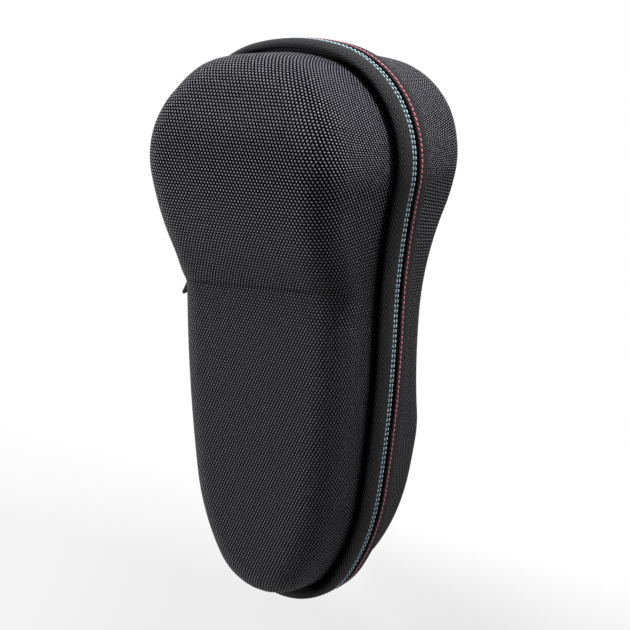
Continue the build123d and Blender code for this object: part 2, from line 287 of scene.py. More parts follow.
# %% Finish helper
class Finish:
    """A material and a short way to write its nodes."""

    def __init__(self, name, color, roughness, **sockets):
        self.name = name
        self.material = bpy.data.materials.new(name)
        self.material.use_nodes = True
        self.nodes = self.material.node_tree.nodes
        self.links = self.material.node_tree.links
        self.shader = self.nodes["Principled BSDF"]
        self.set("Base Color", (*color, 1))
        self.set("Roughness", roughness)
        for socket, value in sockets.items():
            self.set(socket.replace("_", " "), value)

    def fill(self, socket, value):
        """Link a value into a socket, or set it there."""
        if isinstance(value, bpy.types.NodeSocket):
            self.links.new(value, socket)
        else:
            socket.default_value = value

    def set(self, socket, value):
        """Fill one of the shader's sockets."""
        self.fill(self.shader.inputs[socket], value)

    def node(self, kind, sockets=(), **settings):
        """Add a node with these settings and fill its sockets, by their names or numbers."""
        made = self.nodes.new("ShaderNode" + kind)
        for name, value in settings.items():
            setattr(made, name, value)
        for socket, value in dict(sockets).items():
            self.fill(made.inputs[socket], value)
        return made

    def math(self, operation, *values):
        """One Math node."""
        return self.node("Math", enumerate(values), operation=operation).outputs[0]

    def plus(self, first, *others):
        """A sum."""
        for other in others:
            first = self.math("ADD", first, other)
        return first

    def minus(self, first, second):
        """A difference."""
        return self.math("SUBTRACT", first, second)

    def times(self, first, second):
        """A product."""
        return self.math("MULTIPLY", first, second)

    def wave(self, value, turns=1):
        """A cosine wave with this many turns to each unit."""
        return self.math("COSINE", self.times(value, 2 * pi * turns))

    def coords(self, uv=None):
        """The piece's cloth coordinates, or its object coordinates where uv is None."""
        if uv is None:
            return self.node("TexCoord").outputs["Object"]
        return self.node("UVMap", uv_map=uv).outputs["UV"]

    def mark(self, name):
        """A number that the piece's points carry."""
        return self.node("Attribute", attribute_name=name).outputs["Fac"]

    def split(self, vector):
        """The three numbers of a vector."""
        return self.node("SeparateXYZ", {0: vector}).outputs

    def noise(self, vector, scale, detail=2.0, roughness=0.5):
        """A noise pattern's value."""
        sockets = {"Vector": vector, "Scale": scale, "Detail": detail, "Roughness": roughness}
        return self.node("TexNoise", sockets).outputs["Fac"]

    def scaled(self, vector, scale):
        """A vector stretched by three factors."""
        return self.node("Mapping", {"Vector": vector, "Scale": scale}).outputs[0]

    def to_range(self, value, low, high, new_low, new_high):
        """Map one range of values to another, held at its ends."""
        numbers = enumerate((value, low, high, new_low, new_high))
        return self.node("MapRange", numbers).outputs[0]

    def tint(self, value, low, high, *stops):
        """Colour the surface by a value; (position, colour) stops run from low to high."""
        made = self.node("ValToRGB", {0: self.to_range(value, low, high, 0.0, 1.0)})
        band = made.color_ramp.elements
        while len(band) < len(stops):
            band.new(1.0)
        for element, (position, color) in zip(band, stops):
            element.position = position
            element.color = (*color, 1)
        self.set("Base Color", made.outputs[0])

    def bump(self, height, distance, strength):
        """Raise the surface by a height pattern."""
        sockets = {"Strength": strength, "Distance": distance, "Height": height}
        self.set("Normal", self.node("Bump", sockets).outputs[0])


def dress(piece, finish, slot, body, *nodes):
    """Give a piece its finish and its body, and hide the nodes that it stands for; slot is not
    used.
    """
    piece.data.materials.clear()
    piece.data.materials.append(finish.material)
    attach(piece, body)
    if nodes:
        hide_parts(*nodes)
    print(piece.name, "faces:", len(piece.data.polygons), "on", body)
    return piece


# %% [markdown]
# ## Ballistic nylon
#
# The shells' cloth is a coarse nylon weave. Its yarns pass over and under each other, so what
# shows is a lattice of small shiny crowns, each row shifted by half a step, with dark holes
# between. Three waves added together give exactly this lattice: one along the rows and two
# that lean across them. Along the handle one leaning wave is the strongest, and over the deep
# head the cloth is drawn, so there the waves are more alike and the crowns stand out. The same
# pattern drives the bump, so the crowns catch the light, and it drives the colour: the crowns
# are painted light, a painted sheen, and the holes nearly black, a painted shade between the
# yarns, most strongly over the head's crest. The colour also has painted shade down in the
# groove beside the band and a painted shade line along the sharp fold.

# %% Ballistic nylon finish
# the rows of yarn over which the pattern changes, and each wave's share along the handle
# and over the head
head_rows = (178, 205)
crest_rows = (198, 226)
wave_shares = ((1.95, 1.0), (1.15, 1.5), (0.1, 1.0))

nylon = Finish("ballistic_nylon", (0.03, 0.03, 0.032), 0.5, Specular_IOR_Level=0.4)
yarns = nylon.coords("cloth")
across, rows, _ = nylon.split(yarns)
half_rows = nylon.times(rows, 0.5)
lean_right = nylon.wave(nylon.minus(across, half_rows))
lean_left = nylon.wave(nylon.plus(across, half_rows))
row_wave = nylon.wave(rows)
over_head = nylon.to_range(rows, *head_rows, 0.0, 1.0)
over_crest = nylon.to_range(rows, *crest_rows, 0.0, 1.0)
crowns = nylon.plus(*(
    nylon.times(wave, nylon.to_range(over_head, 0, 1, handle_share, head_share))
    for wave, (handle_share, head_share) in zip((lean_right, lean_left, row_wave), wave_shares)
))
unevenness = nylon.times(nylon.minus(nylon.noise(yarns, 0.9), 0.5), 1.6)
weave = nylon.plus(crowns, unevenness)
# painted light and shade: the colour's contrast between crowns and holes is stronger over the crest
drawn_weave = nylon.times(weave, nylon.to_range(over_crest, 0, 1, 0.64, 1.4))
# painted shade: the cloth's colour darkens deep in the groove beside the band, read from the depth
# mark
drawn_weave = nylon.minus(drawn_weave, nylon.times(nylon.mark("depth"), 2.6))
# painted shade: a dark line along the fold, on the face only
from_fold = nylon.math("ABSOLUTE", nylon.mark("past_fold"))
fold_shade_line = nylon.to_range(from_fold, 0.2, 0.9, 0.75, 0.0)
drawn_weave = nylon.minus(drawn_weave, nylon.times(fold_shade_line, nylon.mark("on_face")))
# painted sheen and shade: the crowns are coloured light and the holes nearly black
nylon.tint(
    drawn_weave, -1.7, 3.0,
    (0.0, (0.0, 0.0, 0.0)),
    (0.28, (0.0012, 0.0012, 0.0015)),
    (0.42, (0.011, 0.011, 0.0125)),
    (0.6, (0.098, 0.095, 0.113)),
    (0.78, (0.235, 0.228, 0.27)),
    (1.0, (0.345, 0.335, 0.395)),
)
head_shine = nylon.times(nylon.to_range(drawn_weave, -0.8, 1.2, 0.08, 0.45), over_crest)
handle_shine = nylon.times(0.4, nylon.minus(1.0, over_crest))
nylon.set("Specular IOR Level", nylon.plus(head_shine, handle_shine))
nylon.set("Roughness", nylon.to_range(weave, -0.6, 2.0, 1.0, 0.42))
nylon.bump(weave, 0.16 * mm, 0.9)
print("nylon nodes:", len(nylon.nodes))

# %% [markdown]
# ## Twill
#
# The rim bands and the hinge are a finer cloth, a herringbone twill: its ribs lean one way on
# one side of the band and the other way beyond its crest. A wave along the rim, shifted by the
# distance from the crest, draws the chevrons. Where a band rolls into the zip and into the
# groove beside the wall, no light reaches it, and its colour is painted nearly black there as
# painted shade. The base's band also has a thin pleat, painted lighter as a painted highlight.
# The finish is made once for each band and the hinge.

# %% Twill finishes
def twill_finish(name, ribs_per_unit=1.0, open_from=-99, open_to=99, pleat=99):
    """Herringbone ribs on the cloth coordinates, painted shade outside the open part, a painted
    highlight on a pleat.
    """
    twill = Finish(name, (0.02, 0.02, 0.022), 0.78, Sheen_Weight=0.03, Specular_IOR_Level=0.15)
    place = twill.scaled(twill.coords("cloth"), (ribs_per_unit, ribs_per_unit, 1))
    round_rim, over_band, _ = twill.split(place)
    steep = twill.times(twill.math("ABSOLUTE", over_band), 1.05)
    rib_wave = twill.wave(twill.minus(twill.times(round_rim, 0.47), steep))
    yarn_wave = twill.wave(round_rim, 2)
    uneven = twill.minus(twill.noise(place, 1.3, 3.0), 0.5)
    ribs = twill.plus(rib_wave, twill.times(yarn_wave, 0.3), twill.times(uneven, 1.4))
    # painted shade: the colour goes nearly black where the band rolls into the zip and the groove
    rolled_in = twill.to_range(over_band, open_from - 0.6, open_from, 1, 0)
    rolled_out = twill.to_range(over_band, open_to, open_to + 0.8, 0, 1)
    rolled = twill.math("MAXIMUM", rolled_in, rolled_out)
    # painted highlight: a light line along the pleat
    pleat_highlight = twill.math("COMPARE", over_band, pleat, 0.2)
    shade = twill.minus(ribs, twill.times(rolled, 3.0))
    shade = twill.plus(shade, twill.times(pleat_highlight, 1.3))
    twill.tint(
        shade, -1.6, 1.6,
        (0.0, (0.0006, 0.0006, 0.0008)),
        (0.45, (0.015, 0.015, 0.0165)),
        (1.0, (0.09, 0.09, 0.097)),
    )
    twill.bump(ribs, 0.1 * mm, 0.8)
    return twill


lid_twill = twill_finish("lid_twill", open_from=-6.9, open_to=3.6)
base_twill = twill_finish("base_twill", open_from=-4.1, open_to=6.3, pleat=3.0)
strip_twill = twill_finish("strip_twill", ribs_per_unit=1.09)
print("twills:", [twill.name for twill in (lid_twill, base_twill, strip_twill)])

# %% [markdown]
# ## Thread, metal, foam and the other cloths
#
# Sewing thread is two plies twisted together, so its wave leans across the stitch. Its colour
# is painted lighter on its crown, a painted highlight, and darker in the grooves between the
# plies and towards its sides and foot, a painted shade. The other finishes are a brushed lining,
# woven tape and elastic with ribs, closed-cell foam with fine pores, the nylon coil, and black
# paint on the metal.

# %% Thread finishes
ply_pitch = 0.55 * mm


def thread_finish(name, deep, bright):
    """Twisted thread: plies lean across the stitch, painted dark in their grooves and at the foot
    as shade, and light on the crown as a highlight.
    """
    thread = Finish(name, bright, 0.6, Sheen_Weight=0.1, Specular_IOR_Level=0.2)
    spot = thread.coords()
    x, y, z = thread.split(spot)
    twist = thread.plus(x, z, thread.times(y, 1.4))
    plies = thread.math("SINE", thread.times(twist, 2 * pi / ply_pitch))
    fuzz = thread.noise(spot, 2600)
    # painted highlight on the crown, painted shade in the ply grooves, at the sides and at the foot
    shade = thread.plus(
        thread.times(plies, 0.12), thread.times(fuzz, 0.3), thread.times(thread.mark("crown"), 0.85)
    )
    thread.tint(shade, 0.1, 1.0, (0.0, deep), (0.75, bright), (1.0, bright))
    thread.bump(plies, 0.04 * mm, 0.6)
    return thread


teal_thread = thread_finish("teal_thread", (0.011, 0.072, 0.092), (0.62, 0.90, 1.0))
red_thread = thread_finish("red_thread", (0.07, 0.008, 0.012), (0.72, 0.21, 0.27))
black_thread = thread_finish("black_thread", (0.004, 0.004, 0.005), (0.03, 0.03, 0.033))
print("threads:", [thread.name for thread in (teal_thread, red_thread, black_thread)])

# %% Woven finishes
def shades(color, *factors):
    """Darker and lighter shades of a colour."""
    return [tuple(factor * c for c in color) for factor in factors]


def woven_finish(name, color, roughness, ends_per_unit, picks_per_unit):
    """Tape, elastic or webbing: ends run along it and picks cross it, with fuzz over both."""
    woven = Finish(name, color, roughness, Sheen_Weight=0.08, Specular_IOR_Level=0.25)
    place = woven.coords("cloth")
    run, side, _ = woven.split(place)
    ends = woven.wave(side, ends_per_unit)
    picks = woven.wave(run, picks_per_unit)
    fuzz = woven.noise(place, 2.2, 3.0)
    pattern = woven.plus(woven.times(woven.plus(ends, picks), 0.3), fuzz)
    dark, light = shades(color, 0.25, 2.0)
    woven.tint(pattern, 0.0, 1.1, (0.0, dark), (0.5, color), (1.0, light))
    woven.bump(pattern, 0.1 * mm, 0.7)
    return woven


zip_tape = woven_finish("zip_tape", (0.0035, 0.0035, 0.004), 0.8, 1.6, 1.3)
elastic = woven_finish("strap_elastic", (0.018, 0.018, 0.02), 0.7, 0.8, 1.5)
webbing = woven_finish("pull_webbing", (0.012, 0.012, 0.013), 0.65, 0.9, 1.1)
print("woven:", [woven.name for woven in (zip_tape, elastic, webbing)])

# %% Napped and hard finishes
def napped_finish(name, color, roughness, grain, height, sheen=0.2):
    """Brushed cloth, foam, nylon or paint: a fine random grain with slow patches of shade."""
    nap = Finish(name, color, roughness, Sheen_Weight=sheen)
    spot = nap.coords()
    fine = nap.noise(spot, grain, 3.0, 0.6)
    slow = nap.noise(spot, 45)
    dark, light = shades(color, 0.45, 1.6)
    nap.tint(nap.plus(fine, nap.times(slow, 0.6)), 0.45, 1.15, (0.0, dark), (1.0, light))
    nap.bump(fine, height, 0.6)
    return nap


lining = napped_finish("brushed_lining", (0.035, 0.035, 0.038), 0.9, 1400, 0.1 * mm)
foam = napped_finish("eva_foam", (0.02, 0.02, 0.021), 0.75, 2400, 0.04 * mm)
coil_nylon = napped_finish("coil_nylon", (0.006, 0.006, 0.0065), 0.45, 900, 0.02 * mm, sheen=0.0)
mesh_cord = napped_finish("mesh_cord", (0.02, 0.02, 0.022), 0.6, 2400, 0.03 * mm)
black_paint = napped_finish("black_paint", (0.014, 0.014, 0.015), 0.34, 1200, 0.01 * mm, sheen=0.0)
black_paint.set("Metallic", 0.6)
print("finishes:", len(bpy.data.materials))

# %% [markdown]
# ## The moulded shells
#
# Heat and pressure form each shell over a block, so the cloth is one sheet: flat on the face,
# bent over the shoulder and pulled straight down the wall. The model follows the same way in
# reverse. Its loops climb the wall, turn over the shoulder, and close on a ridge down the
# middle of the face. The wall leans in by a few degrees, and by less towards the head end. The
# face's height comes from a side profile: the lid's head is domed and slopes down to the flat
# handle, with a sharp fold that runs at a slight slant, and the base has a hollow waist. Each
# point of a skin is marked with what the finish needs to know: its depth in the groove beside
# the band, its distance past the fold, and whether it lies on the face.

# %% Side profiles
lid_crest_depth = 46.5 * mm
lid_end_depth = 33 * mm
lid_handle_depth = 28 * mm
crest_station = 156.5 * mm
fold_station = 119 * mm
fold_radius = 3 * mm
fold_steepness = 0.4
fold_shift = 1.8 * mm
fold_slant = 0.055
crest_radius = 65 * mm
rise = Vector((crest_station - fold_station, lid_crest_depth - lid_handle_depth)).normalized()
fall = Vector((case_length - crest_station, lid_end_depth - lid_crest_depth)).normalized()
crest = Vector((crest_station, lid_crest_depth))
fold_start = fold_station - fold_radius * tan(rise.angle(Vector((1, 0))) / 2)
fold_end = fold_start + fold_radius * rise.y
crest_tangent = crest_radius * tan(rise.angle(fall) / 2)
crest_start = crest - rise * crest_tangent
crest_end = crest + fall * crest_tangent
crest_center = crest_start + Vector((rise.y, -rise.x)) * crest_radius
slope_run = crest_start.x - fold_start


def held(number):
    """A number held between 0 and 1."""
    return min(max(number, 0), 1)


def ease(number):
    """A number held between 0 and 1 that leaves both ends softly."""
    share = held(number)
    return share * share * (3 - 2 * share)


def slope_height(station):
    """Height of the lid's face over the seam before the slope is steepened at its foot."""
    if station <= fold_start:
        return lid_handle_depth
    if station < fold_end:
        return lid_handle_depth + fold_radius - sqrt(fold_radius**2 - (station - fold_start) ** 2)
    if station <= crest_start.x:
        return crest.y + (station - crest.x) * rise.y / rise.x
    if station < crest_end.x:
        return crest_center.y + sqrt(crest_radius**2 - (station - crest_center.x) ** 2)
    return crest.y + (station - crest.x) * fall.y / fall.x


def lid_height(spot):
    """Height of the lid's face over the seam: flat, up a slope, and over the domed head."""
    climbed = held((spot.y - fold_start) / slope_run)
    fold_lag = (fold_shift + fold_slant * spot.x) * (1 - climbed) ** 2
    station = spot.y - fold_lag
    reach = held((station - fold_start) / slope_run)
    return slope_height(station) + fold_steepness * slope_run * reach * (1 - reach) ** 3


waist_low = 66 * mm
waist_high = 152 * mm
waist_depth = 30.5 * mm
waist_rounding = 30 * mm


def rest_depth(station):
    """Depth of the table below the seam."""
    return base_head_depth + (station - base_head_station) * rest_slope


def hollow_circle():
    """Centre (station, depth) and radius of the arc that hollows the base's waist."""
    low = Vector((waist_low, rest_depth(waist_low)))
    high = Vector((waist_high, rest_depth(waist_high)))
    chord = high - low
    across = Vector((-chord.y, chord.x)).normalized()
    reach = Vector(((waist_low + waist_high) / 2, waist_depth)) - low
    out = (reach.length_squared - reach.dot(chord)) / (2 * reach.dot(across))
    center = low + chord / 2 + across * out
    return center, (center - low).length


hollow_center, hollow_radius = hollow_circle()


def rounding(side):
    """(centre, first, last station) of the rounding at one end of the hollow, -1 or 1."""
    table = Vector((1, rest_slope)).normalized()
    inward = Vector((table.y, -table.x))
    start = Vector((0, rest_depth(0))) + inward * waist_rounding
    gap = start - hollow_center
    reach = hollow_radius + waist_rounding
    foot = gap.dot(table)
    root = sqrt(foot * foot - gap.length_squared + reach**2)
    center = start + table * (side * root - foot)
    on_table = center.x - inward.x * waist_rounding
    on_hollow = center.lerp(hollow_center, waist_rounding / reach).x
    return center, min(on_table, on_hollow), max(on_table, on_hollow)


roundings = [rounding(side) for side in (-1, 1)]


def base_depth(spot):
    """Depth of the base's outer face below the seam."""
    station = spot.y
    for center, first, last in roundings:
        if first <= station <= last:
            return center.y + sqrt(waist_rounding**2 - (station - center.x) ** 2)
    if roundings[0][2] < station < roundings[1][1]:
        return hollow_center.y - sqrt(hollow_radius**2 - (station - hollow_center.x) ** 2)
    return rest_depth(station)


for face, stations in ((lid_height, (80, 130, 180)), (base_depth, (60, 109, 172))):
    levels = [face(Vector((0, station * mm))) / mm for station in stations]
    print(face.__name__, "at", stations, [round(level, 2) for level in levels])

# %% Walls and shoulders
shell_inset = 4.6 * mm
shell_edge = 1.9 * mm
wall_draft = radians(5)
base_draft = radians(3.2)
# for each half: the usual lean, the lean at the head end, and where it changes from one to
# the other: from this station on, over this length
leans = {
    1: (wall_draft, radians(1), 193 * mm, 11 * mm),
    -1: (base_draft, radians(2), 170 * mm, 20 * mm),
}
shoulder_radius = 13 * mm
shoulder_reach = 34 * mm
close_enough = 0.005 * mm
nudge = 0.1 * mm


def face_level(side, sink, spot):
    """Height of the face that lies sink inside one half's outer face."""
    face = lid_height if side > 0 else base_depth
    ahead = Vector((0, nudge))
    slope = (face(spot + ahead) - face(spot - ahead)) / (2 * nudge)
    return face(spot) - sink * sqrt(1 + slope * slope)


def draft_at(point, side):
    """Lean of the wall at a rim point: it stands up straighter towards the head end."""
    usual, at_end, start, reach = leans[side]
    return usual + (at_end - usual) * ease((point.y - start) / reach)


def wall_inset(sink, level, draft=wall_draft):
    """How far inside the rim a layer of the wall stands at a height."""
    return shell_inset + sink / cos(draft) + (level - shell_edge) * tan(draft)


def shoulder_ball(point, normal, side, sink):
    """Centre and face slope of a ball that touches both the wall and the face at a rim point."""
    radius = shoulder_radius - sink
    draft = draft_at(point, side)

    def level(inset):
        return face_level(side, sink, point - normal * inset)

    low = wall_inset(sink, shell_edge)
    high = low + shoulder_reach
    while high - low > close_enough:
        inset = (low + high) / 2
        slope = atan((level(inset + nudge) - level(inset - nudge)) / (2 * nudge))
        center = Vector((inset + radius * sin(slope), level(inset) - radius * cos(slope)))
        gap = (center.x - wall_inset(sink, center.y, draft)) * cos(draft)
        low, high = (inset, high) if gap < radius else (low, inset)
    return center, slope


print("wall at 20 mm stands in by", round(wall_inset(0, 20 * mm) / mm, 2), "mm")

# %% Dome loops
ridge_low = 44 * mm
ridge_high = 160 * mm
ridge_inset = 18 * mm
rim_count = 300
dome_rim = even_rim(rim_count)
wall_rows, bend_rows, face_rows = 10, 9, 14
bend_end = wall_rows + bend_rows


def dome_loops(side, sink=0.0):
    """Loops of one half's skin, sink inside its outer face: up the wall, round the shoulder, in."""
    radius = shoulder_radius - sink
    parts = [step / wall_rows for step in range(wall_rows)]
    parts += [1 + step / bend_rows for step in range(bend_rows)]
    parts += [2 + (step / face_rows) ** 1.1 for step in range(face_rows + 1)]
    rows = [[] for _ in parts]
    for point, normal in dome_rim:
        center, slope = shoulder_ball(point, normal, side, sink)
        draft = draft_at(point, side)
        wall_top = center.y + radius * sin(draft)
        foot = point - normal * (center.x - radius * sin(slope))
        ridge = Vector((0, min(max((point - normal * ridge_inset).y, ridge_low), ridge_high)))
        for row, part in zip(rows, parts):
            if part <= 1:
                level = shell_edge + (wall_top - shell_edge) * part
                spot = point - normal * wall_inset(sink, level, draft)
            elif part <= 2:
                angle = draft + (pi / 2 - slope - draft) * (part - 1)
                level = center.y + radius * sin(angle)
                spot = point - normal * (center.x - radius * cos(angle))
            else:
                spot = foot.lerp(ridge, part - 2)
                level = face_level(side, sink, spot)
            row.append((spot, level))
    return rows


def cloth_of(rows):
    """Where each point lies on the flat cloth: its place on the face, plus its run downwards."""
    sheet = []
    for column, (_, normal) in enumerate(dome_rim):
        places = {row: rows[row][column][0] for row in range(bend_end, len(rows))}
        edge = places[bend_end]
        run_down = 0.0
        for row in range(bend_end - 1, -1, -1):
            spot, level = rows[row][column]
            above, above_level = rows[row + 1][column]
            run_down += hypot((spot - above).length, level - above_level)
            places[row] = edge + normal * run_down
        sheet.append(places)
    return sheet


print("skin loops:", wall_rows + bend_rows + face_rows + 1, "of", rim_count, "points")

# %% Yarn counts
drawn_from = 100 * mm
drawn_over = 60 * mm
table_step = 1 * mm
table_start = -80 * mm
table_length = 400


def yarn_pitch(station):
    """(pitch across, pitch of the rows, lean) of the yarns, which the deep head draws apart."""
    drawn = ease((station - drawn_from) / drawn_over)
    return (1.21 + 0.2 * drawn) * mm, (1.045 + 0.04 * drawn) * mm, -0.045 + 0.155 * drawn


row_table = [(0.0, 0.0)]
for step in range(table_length):
    _, row_pitch, lean = yarn_pitch(table_start + step * table_step)
    count, drift = row_table[-1]
    row_table.append((count + table_step / row_pitch, drift + table_step * lean))


def yarn_count(spot):
    """(yarns across, rows along) at a place on the cloth."""
    index = (spot.y - table_start) / table_step
    low = min(max(floor(index), 0), len(row_table) - 2)
    part = index - low
    count, drift = (a + (b - a) * part for a, b in zip(row_table[low], row_table[low + 1]))
    return (spot.x - drift) / yarn_pitch(spot.y)[0], count


print("rows of yarn from end to end:", round(yarn_count(Vector((0, case_length)))[1]))

# %% Skin helper
groove_level = 9.5 * mm
groove_fade = 5 * mm
face_low = 26 * mm
face_fade = 1.6 * mm


def past_fold(spot):
    """Millimetres from the slanting fold to a point, towards the head end."""
    return (spot.y - (fold_station + fold_shift + fold_slant * spot.x)) / mm


def make_skin(name, side, sink, thickness):
    """One half's skin: modelled as an open dome, then given its thickness inwards."""
    rows = dome_loops(side, sink)
    sheet = cloth_of(rows)
    loops = [[Vector((spot.x, spot.y, side * level)) for spot, level in row] for row in rows]

    def cloth_place(row, column):
        return yarn_count(sheet[column % rim_count][row])

    skin = extrude_loops(name, loops, cloth_place)
    wall = skin.modifiers.new("cloth thickness", "SOLIDIFY")
    wall.thickness = thickness
    wall.offset = -1
    apply_modifiers(skin)
    # the finish paints shade from the depth mark in the groove, and a shade line along the fold
    # from the other two marks
    mark(skin, "depth", lambda spot: held((groove_level - abs(spot.z)) / groove_fade))
    mark(skin, "past_fold", past_fold)
    mark(skin, "on_face", lambda spot: held((spot.z - face_low) / face_fade))
    return settle(skin)


# %% Cover cloth, foam cores and linings
# piece, how far it lies inside the outer face, thickness, finish, slot and node
skin_layers = (
    ("skin", 0, 0.8 * mm, nylon, "cover_cloth", "cover"),
    ("foam_core", 1.0 * mm, 3.0 * mm, foam, "foam", "foam"),
    ("inner_skin", 4.2 * mm, 0.8 * mm, lining, "lining_cloth", "lining"),
)
for layer, sink, thickness, finish, slot, node in skin_layers:
    for half, side in halves:
        skin = make_skin(f"{half}_{layer}", side, sink, thickness)
        dress(skin, finish, slot, half, f"{half}_{node}")

# %% [markdown]
# ## The rolled rim bands
#
# Each band is a strip of twill rolled over a cord of foam and sewn down beside the zip. Its
# section is a soft bead with a flat side towards the zip and a shallow channel where each row
# of stitches pulls the cloth in. The loops run round the section this time. A section is a
# list of (inset from the rim, height over the seam) in millimetres.

# %% Rim bands
rib_pitch = rim_length / round(rim_length / (0.92 * mm))
band_count = 480
band_rim = even_rim(band_count)
lid_section = (
    (3.0, 1.3), (2.6, 1.02), (1.6, 1.0), (0.7, 1.02), (0.3, 1.12), (0.12, 1.35), (0.12, 1.7),
    (0.02, 2.1), (-0.02, 2.5), (0.02, 2.85), (0.12, 3.2), (0.0, 3.6), (-0.05, 4.2), (-0.02, 5.0),
    (0.08, 5.8), (0.3, 6.7), (0.7, 7.6), (1.2, 8.3), (1.75, 8.75), (2.3, 8.82), (2.75, 8.5),
    (2.97, 7.9), (3.0, 6.0), (3.0, 3.5),
)
base_section = (
    (3.0, 1.3), (2.6, 1.02), (1.6, 1.0), (0.7, 1.02), (0.3, 1.1), (0.06, 1.35), (0.02, 1.75),
    (0.12, 2.2), (0.0, 2.65), (-0.04, 3.3), (-0.04, 4.2), (0.0, 5.0), (0.1, 5.8), (0.3, 6.6),
    (0.55, 7.2), (0.75, 7.4), (0.85, 7.75), (1.25, 8.35), (1.75, 8.72), (2.3, 8.82),
    (2.75, 8.5), (2.97, 7.9), (3.0, 6.0), (3.0, 3.5),
)


def make_band(name, side, section, middle):
    """A band round the rim on one side of the seam; its chevrons meet at the corner middle."""
    runs = [0.0]
    for (a, b), (c, d) in zip(section, section[1:] + section[:1]):
        runs.append(runs[-1] + hypot(c - a, d - b))
    loops = []
    for inset, height in section + section[:1]:
        ring = [p - n * inset * mm for p, n in band_rim]
        loops.append([Vector((spot.x, spot.y, side * height * mm)) for spot in ring])

    def cloth_place(row, column):
        run_round = column * rim_length / band_count / rib_pitch
        return run_round, (runs[row] - runs[middle]) * mm / rib_pitch

    return settle(extrude_loops(name, loops, cloth_place))


lid_bead = make_band("lid_rim_band", 1, lid_section, middle=16)
dress(lid_bead, lid_twill, "rim_cloth", "lid", "lid_band")
base_bead = make_band("base_rim_band", -1, base_section, middle=11)
dress(base_bead, base_twill, "rim_cloth", "base", "base_band")

# %% [markdown]
# ## Tape and piping
#
# Two more strips run round inside each band: the zip's woven tape, and the folded piping that
# covers the raw edge of the lining. Both are loops round a rounded section, as the bands are.

# %% Tape and piping rings
tape_section = (
    (4.8, 1.6), (4.7, 1.45), (3.1, 1.45), (2.95, 1.6), (2.95, 3.2), (2.95, 4.85), (3.1, 5.0),
    (4.7, 5.0), (4.8, 4.85), (4.8, 3.2),
)
piping_section = (
    (6.32, 0.95), (6.4, 0.6), (6.7, 0.36), (7.2, 0.3), (8.2, 0.34), (9.1, 0.3), (9.6, 0.38),
    (9.86, 0.65), (9.92, 1.0), (9.86, 1.35), (9.6, 1.62), (9.1, 1.7), (7.2, 1.7), (6.7, 1.64),
    (6.4, 1.35),
)
for half, side in halves:
    tape = make_band(half + "_tape_ring", side, tape_section, middle=4)
    dress(tape, zip_tape, "zip_tape", half, half + "_tape")
    piping = make_band(half + "_piping_ring", side, piping_section, middle=4)
    dress(piping, lining, "lining_cloth", half, half + "_piping")

# %% [markdown]
# ## Stitches
#
# A row of lockstitch is one short capsule of thread after another, each dipping into the cloth
# at both ends. One stitch is modelled from a sphere, copied along the row with its own mesh,
# and the copies are joined. Its points are marked from 0 at its foot to 1 on its crown, so
# that the thread's colour can be painted darker as shade where it sinks into the cloth and
# lighter as a highlight on its crown. The two teal rows run side by side on the lid's band and
# the red row on the base's, except under the cloth hinge.

# %% Stitch and sewing helpers
stitch_pitch = 1.77 * mm
stitch_tip = 0.499
thinnest = 0.35
sway_step = 12.9898
sway_turn = 0.03
sway_shift = 0.02 * mm


def model_stitch(length, width, height):
    """One stitch: a sphere stretched to a capsule whose ends bend down into the cloth."""
    bpy.ops.object.select_all(action="DESELECT")
    bpy.ops.mesh.primitive_uv_sphere_add(segments=8, ring_count=6, radius=0.5, calc_uvs=False)
    stitch = bpy.context.object
    bpy.ops.transform.rotate(value=pi / 2, orient_axis="Y", center_override=(0, 0, 0))
    bpy.ops.object.transform_apply(location=False, rotation=True, scale=False)
    # the finish paints the thread lighter on this crown and darker towards the foot
    mark(stitch, "crown", lambda spot: max(2 * spot.z, 0))
    for vert in stitch.data.vertices:
        x, y, z = vert.co
        full = 1.0
        if abs(x) < stitch_tip:
            full = (1 - (2 * x) ** 4) ** 0.25 / max((1 - (2 * x) ** 2) ** 0.5, thinnest)
        dip = (2 * x) ** 4 * 0.5 * height
        vert.co = Vector((x * length, y * full * width, z * full * height - dip))
    return stitch


def sew(name, stitch, places):
    """Copy a stitch to each (spot, forward, out) place, a little uneven, and join the copies."""
    copies = []
    for index, (spot, forward, out) in enumerate(places):
        sway = sin(index * sway_step)
        turned = (forward + out.cross(forward) * sway_turn * sway).normalized()
        across = out.cross(turned)
        copy = stitch.copy()
        copy.data = stitch.data.copy()
        bpy.context.collection.objects.link(copy)
        copy.matrix_world = frame_of(turned, across, out, spot + across * sway_shift * sway)
        copies.append(copy)
    bpy.data.objects.remove(stitch)
    only(*copies)
    bpy.ops.object.join()
    row = named(name)
    bpy.ops.object.transform_apply(location=True, rotation=True, scale=True)
    bpy.ops.object.shade_smooth()
    print(name, "copies:", len(copies))
    return settle(row)


def sew_row(name, size, places, thread, body, *nodes):
    """Sew and dress a row; size is each stitch's length, width and height in millimetres."""
    row = sew(name, model_stitch(*(number * mm for number in size)), places)
    dress(row, thread, thread.name, body, *nodes)


# %% Places round the rim
hinge_length = 28 * mm
hinge_clear = 0.3 * mm


def rim_places(runs, height, lift, tilt=0.0):
    """Places for stitches round the rim at a height over the seam."""
    places = []
    for run in runs:
        point, normal = rim_point(run)
        out = Vector((normal.x, normal.y, 0))
        forward = Vector((-normal.y * cos(tilt), normal.x * cos(tilt), sin(tilt)))
        spot = point + normal * lift
        places.append((Vector((spot.x, spot.y, height)), forward, out))
    return places


def side_index(station, inset):
    """Where the parallel outline at this inset reaches a station, in the right side's table."""
    low, high = 0, len(right_side) - 1
    while high - low > 1:
        middle = (low + high) // 2
        point, normal = right_side[middle]
        low, high = (middle, high) if (point - normal * inset).y < station else (low, middle)
    return low


def run_at(station, inset=0.0):
    """Distance up the right side of the rim to a station on the parallel outline."""
    return fine_runs[side_index(station, inset)]


hinge_run = rim_length - run_at(head_station)
rim_stitches = round(rim_length / stitch_pitch)
print("stitches to a full round:", rim_stitches)


